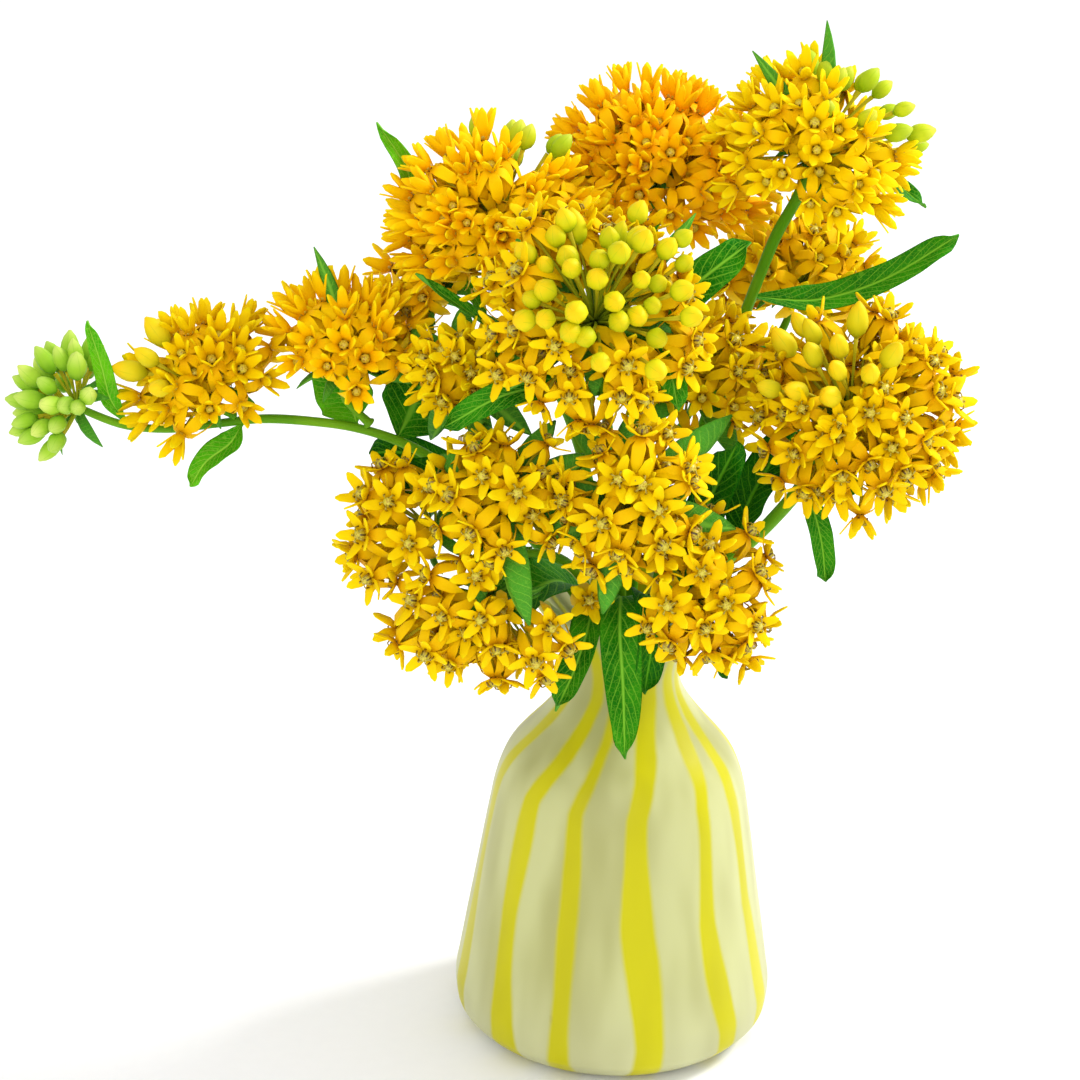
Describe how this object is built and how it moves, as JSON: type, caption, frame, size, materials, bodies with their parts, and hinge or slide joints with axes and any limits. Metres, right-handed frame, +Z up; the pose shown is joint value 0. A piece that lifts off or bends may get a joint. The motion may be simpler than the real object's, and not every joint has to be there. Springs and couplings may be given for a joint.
{
  "type": "milkweed in vase",
  "caption": "Bunch of yellow and orange milkweed, cut stems with leaves, buds and flower umbels, standing in a small striped glass vase with a flared lip.",
  "frame": {"origin": "centre of the vase's flat foot, on the surface that it stands on", "axes": "+Z up along the vase's axis; -Y towards the front of the bunch, where the drooping umbels hang; the long side stem points to -X"},
  "size_m": [0.224, 0.1289, 0.2479],
  "materials": {
    "vase_glass": "satin",
    "green_stem": "satin",
    "green_leaf": "satin",
    "green_buds": "satin",
    "lemon_flowers": "matte",
    "yellow_flowers": "matte",
    "amber_flowers": "matte",
    "orange_flowers": "matte"
  },
  "bodies": {
    "root": {"vase_foot": "vase_glass", "vase_body": "vase_glass", "vase_neck": "vase_glass", "stem_left_long": "green_stem", "stem_upper_left": "green_stem", "stem_top": "green_stem", "stem_top_right": "green_stem", "stem_right": "green_stem", "stem_low_right": "green_stem", "stem_front": "green_stem", "stem_low_left": "green_stem", "shoot_left_yellow": "green_stem", "shoot_left_orange": "green_stem", "shoot_inner_left": "green_stem", "shoot_small_left": "green_stem", "shoot_inner_amber": "green_stem", "shoot_back_right": "green_stem", "shoot_low_left": "green_stem", "shoot_low_centre": "green_stem", "shoot_drooping_left": "green_stem", "leaf_tip_upright": "green_leaf", "leaf_left_hanging": "green_leaf", "leaf_fork_bright": "green_leaf", "leaf_fork_broad": "green_leaf", "leaf_fork_dark": "green_leaf", "leaf_low_left_dark": "green_leaf", "leaf_mouth_left": "green_leaf", "leaf_mouth_hanging_short": "green_leaf", "leaf_mouth_hanging_long": "green_leaf", "leaf_mouth_dark": "green_leaf", "leaf_low_right_curled": "green_leaf", "leaf_right_upright": "green_leaf", "leaf_right_hanging": "green_leaf", "leaf_right_short": "green_leaf", "leaf_right_behind": "green_leaf", "leaf_front_veined": "green_leaf", "leaf_bud_lower_right": "green_leaf", "leaf_bud_upright": "green_leaf", "leaf_bud_right_veined": "green_leaf", "leaf_upper_left_narrow": "green_leaf", "leaf_upper_left_pointed": "green_leaf", "leaf_top_right_small": "green_leaf", "leaf_right_long": "green_leaf", "umbel_tip_green_buds": "green_buds", "umbel_left_yellow": "yellow_flowers", "umbel_left_orange": "orange_flowers", "umbel_upper_left": "orange_flowers", "umbel_top_orange": "orange_flowers", "umbel_top_lemon": "lemon_flowers", "umbel_right": "yellow_flowers", "umbel_front_budded": "yellow_flowers", "umbel_small_left": "orange_flowers", "umbel_inner_left": "amber_flowers", "umbel_inner_amber": "amber_flowers", "umbel_back_right": "amber_flowers", "umbel_low_left": "amber_flowers", "umbel_low_centre": "yellow_flowers", "umbel_low_right": "yellow_flowers", "umbel_drooping_left": "yellow_flowers", "umbel_drooping": "yellow_flowers"}
  },
  "joints": []
}
